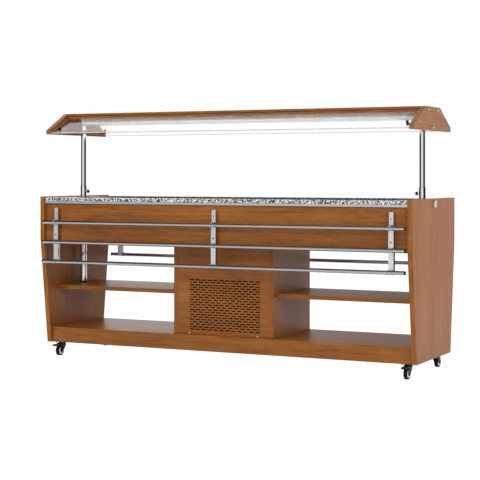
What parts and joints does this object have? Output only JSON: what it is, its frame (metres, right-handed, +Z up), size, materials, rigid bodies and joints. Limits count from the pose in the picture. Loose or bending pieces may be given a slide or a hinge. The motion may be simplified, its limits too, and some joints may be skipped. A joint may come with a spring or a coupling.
{
  "type": "mobile salad bar",
  "caption": "Mobile chilled salad bar: wood-board cabinet on casters, stone worktop with a long cold well, folding tray rails on both sides and a lit canopy with glass guards on two posts.",
  "frame": {"origin": "on the floor, under the middle of the bar", "axes": "+X along the length, -Y out of the customer's side, +Z up"},
  "size_m": [2.176, 0.749, 1.352],
  "materials": {
    "wood": "satin veneer",
    "stone": "polished granite",
    "steel": "brushed",
    "tube_steel": "polished",
    "screw_steel": "polished",
    "chrome": "polished",
    "alloy": "satin",
    "copper": "bare copper",
    "casing_plastic": "matt",
    "white_plastic": "matt",
    "diffuser": "opal",
    "grey_paint": "powder coat",
    "black_paint": "semi-gloss",
    "black_plastic": "moulded",
    "black_tyre": "matt",
    "glass": "clear"
  },
  "bodies": {
    "cabinet": {"end_panel_left": "wood", "end_panel_right": "wood", "base_deck": "wood", "plinths": "wood", "shelves": "wood", "fascia_front": "wood", "fascia_back": "wood", "box_sides": "wood", "grille_front": "wood", "grille_back": "wood", "worktop": "stone", "worktop_rails": "steel", "end_panel_caps": "steel", "wood_screws": "screw_steel", "well_liner": "steel", "well_casing": "casing_plastic", "drain_pipe": "steel", "compressor": "black_paint", "condenser": "alloy", "fan_motor": "black_paint", "unit_tray": "steel", "copper_pipes": "copper", "control_plate": "steel", "cable_gland": "black_plastic", "post_sleeves": "chrome", "post_collars": "chrome", "tray_brackets": "steel", "caster_plates": "black_paint"},
    "front_tray": {"front_tray_arms": "steel", "front_tray_tubes": "tube_steel"},
    "back_tray": {"back_tray_arms": "steel", "back_tray_tubes": "tube_steel"},
    "canopy": {"canopy_posts": "chrome", "post_brackets": "steel", "canopy_end_left": "wood", "canopy_end_right": "wood", "canopy_top": "wood", "glass_front": "glass", "glass_back": "glass", "glass_holders": "black_plastic", "lamp_housing": "grey_paint", "led_strip": "white_plastic", "lamp_diffuser": "diffuser", "canopy_caps": "chrome"},
    "thumbscrew_left": {"thumbscrew_left": "black_plastic"},
    "thumbscrew_right": {"thumbscrew_right": "black_plastic"},
    "fan": {"fan_blade": "black_plastic"},
    "thermostat_knob": {"thermostat_knob": "black_plastic"},
    "power_switch": {"power_switch": "black_plastic"},
    "fork_front_left": {"fork_front_left": "black_paint"},
    "wheel_front_left": {"wheel_front_left": "black_tyre"},
    "fork_front_right": {"fork_front_right": "black_paint"},
    "wheel_front_right": {"wheel_front_right": "black_tyre"},
    "fork_back_left": {"fork_back_left": "black_paint"},
    "wheel_back_left": {"wheel_back_left": "black_tyre"},
    "fork_back_right": {"fork_back_right": "black_paint"},
    "wheel_back_right": {"wheel_back_right": "black_tyre"},
    "brake_front_left": {"brake_front_left": "black_plastic"},
    "brake_front_right": {"brake_front_right": "black_plastic"}
  },
  "joints": [
    {"name": "front_tray_fold", "type": "hinge", "parent": "cabinet", "child": "front_tray", "pos_m": [0, -0.362, 0.747], "axis": [-1, 0, 0], "range_deg": [0, 90]},
    {"name": "back_tray_fold", "type": "hinge", "parent": "cabinet", "child": "back_tray", "pos_m": [0, 0.362, 0.747], "axis": [1, 0, 0], "range_deg": [0, 90]},
    {"name": "canopy_height", "type": "slide", "parent": "cabinet", "child": "canopy", "axis": [0, 0, 1], "range_m": [-0.15, 0.1]},
    {"name": "left_clamp", "type": "hinge", "parent": "cabinet", "child": "thumbscrew_left", "pos_m": [-1.016, 0, 0.9125], "axis": [1, 0, 0], "range_deg": [0, 720]},
    {"name": "right_clamp", "type": "hinge", "parent": "cabinet", "child": "thumbscrew_right", "pos_m": [1.016, 0, 0.9125], "axis": [-1, 0, 0], "range_deg": [0, 720]},
    {"name": "fan_spin", "type": "hinge", "parent": "cabinet", "child": "fan", "pos_m": [-0.13, -0.13, 0.312], "axis": [0, 1, 0], "continuous": true},
    {"name": "thermostat_turn", "type": "hinge", "parent": "cabinet", "child": "thermostat_knob", "pos_m": [-0.04, 0.24, 0.56], "axis": [0, -1, 0], "range_deg": [0, 270]},
    {"name": "switch_rock", "type": "hinge", "parent": "cabinet", "child": "power_switch", "pos_m": [0.04, 0.234, 0.56], "axis": [1, 0, 0], "range_deg": [-16, 0]},
    {"name": "front_left_swivel", "type": "hinge", "parent": "cabinet", "child": "fork_front_left", "pos_m": [-1.018, -0.218, 0.065], "axis": [0, 0, 1], "continuous": true},
    {"name": "front_left_roll", "type": "hinge", "parent": "fork_front_left", "child": "wheel_front_left", "pos_m": [-1.018, -0.242, 0.028], "axis": [1, 0, 0], "continuous": true},
    {"name": "front_right_swivel", "type": "hinge", "parent": "cabinet", "child": "fork_front_right", "pos_m": [1.018, -0.218, 0.065], "axis": [0, 0, 1], "continuous": true},
    {"name": "front_right_roll", "type": "hinge", "parent": "fork_front_right", "child": "wheel_front_right", "pos_m": [1.018, -0.242, 0.028], "axis": [1, 0, 0], "continuous": true},
    {"name": "back_left_swivel", "type": "hinge", "parent": "cabinet", "child": "fork_back_left", "pos_m": [-1.018, 0.218, 0.065], "axis": [0, 0, 1], "continuous": true},
    {"name": "back_left_roll", "type": "hinge", "parent": "fork_back_left", "child": "wheel_back_left", "pos_m": [-1.018, 0.242, 0.028], "axis": [1, 0, 0], "continuous": true},
    {"name": "back_right_swivel", "type": "hinge", "parent": "cabinet", "child": "fork_back_right", "pos_m": [1.018, 0.218, 0.065], "axis": [0, 0, 1], "continuous": true},
    {"name": "back_right_roll", "type": "hinge", "parent": "fork_back_right", "child": "wheel_back_right", "pos_m": [1.018, 0.242, 0.028], "axis": [1, 0, 0], "continuous": true},
    {"name": "front_left_brake", "type": "hinge", "parent": "fork_front_left", "child": "brake_front_left", "pos_m": [-1.018, -0.245, 0.0625], "axis": [1, 0, 0], "range_deg": [0, 12]},
    {"name": "front_right_brake", "type": "hinge", "parent": "fork_front_right", "child": "brake_front_right", "pos_m": [1.018, -0.245, 0.0625], "axis": [1, 0, 0], "range_deg": [0, 12]}
  ]
}
